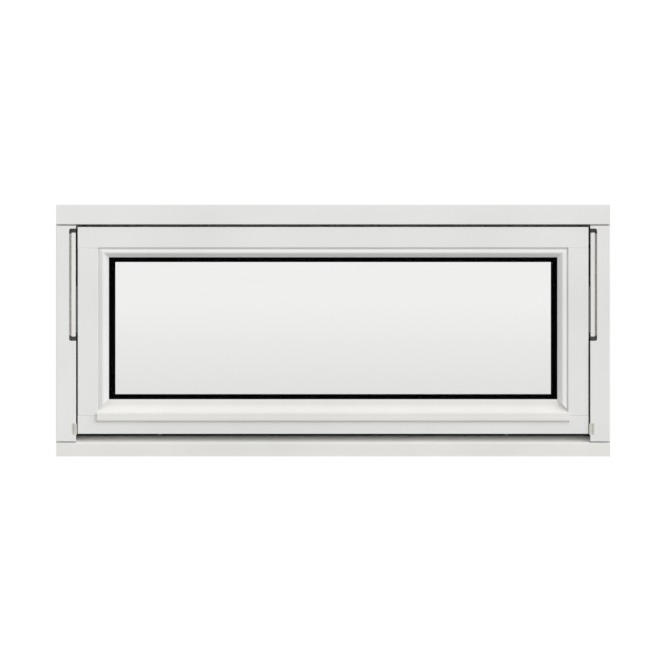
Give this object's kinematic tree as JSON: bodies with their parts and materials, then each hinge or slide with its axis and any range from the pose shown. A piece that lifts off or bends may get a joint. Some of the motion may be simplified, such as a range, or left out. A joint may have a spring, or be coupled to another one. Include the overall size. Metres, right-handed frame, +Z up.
{
  "type": "pivot window",
  "caption": "Wide timber pivot window: sealed-glass sash with moulded beads, a metal drip profile under the glass, sliding stays in the jambs and a lever handle.",
  "frame": {"origin": "middle of the sill's underside, in the middle plane of the frame's depth", "axes": "+X along the window to the right as seen from outdoors, +Y from outdoors towards the room, +Z up"},
  "size_m": [1.28, 0.1245, 0.582],
  "materials": {
    "painted_timber": "white paint, satin",
    "coated_aluminium": "off-white powder coat, satin",
    "clear_glass": "clear float glass",
    "black_edge_seal": "black, matt",
    "black_gasket": "black, matt",
    "block_plastic": "moulded, matt",
    "grey_weatherstrip": "grey, matt",
    "track_aluminium": "off-white powder coat, satin",
    "shoe_plastic": "moulded, smooth",
    "zinc_steel": "zinc plated, satin",
    "guide_plastic": "off-white, satin",
    "handle_metal": "white powder coat, satin"
  },
  "bodies": {
    "root": {"frame_head": "painted_timber", "frame_sill": "painted_timber", "sill_cladding": "coated_aluminium", "sash_top_rail": "painted_timber", "sash_bottom_rail": "painted_timber", "top_glazing_bead": "painted_timber", "bottom_glazing_profile": "coated_aluminium", "outer_pane": "clear_glass", "middle_pane": "clear_glass", "inner_pane": "clear_glass", "outer_spacer": "black_edge_seal", "inner_spacer": "black_edge_seal", "outer_gasket": "black_gasket", "inner_gasket": "black_gasket", "setting_blocks": "block_plastic", "frame_weatherstrips": "grey_weatherstrip", "lock_faceplate": "zinc_steel", "sill_keeps": "zinc_steel", "handle_rose": "handle_metal", "handle_lever": "handle_metal", "left_jamb": "painted_timber", "left_sash_stile": "painted_timber", "left_glazing_bead": "painted_timber", "left_stay_track": "track_aluminium", "left_slide_shoe": "shoe_plastic", "left_stay_arm": "zinc_steel", "left_pivot_bracket": "zinc_steel", "left_corner_guide": "guide_plastic", "right_jamb": "painted_timber", "right_sash_stile": "painted_timber", "right_glazing_bead": "painted_timber", "right_stay_track": "track_aluminium", "right_slide_shoe": "shoe_plastic", "right_stay_arm": "zinc_steel", "right_pivot_bracket": "zinc_steel", "right_corner_guide": "guide_plastic"}
  },
  "joints": []
}
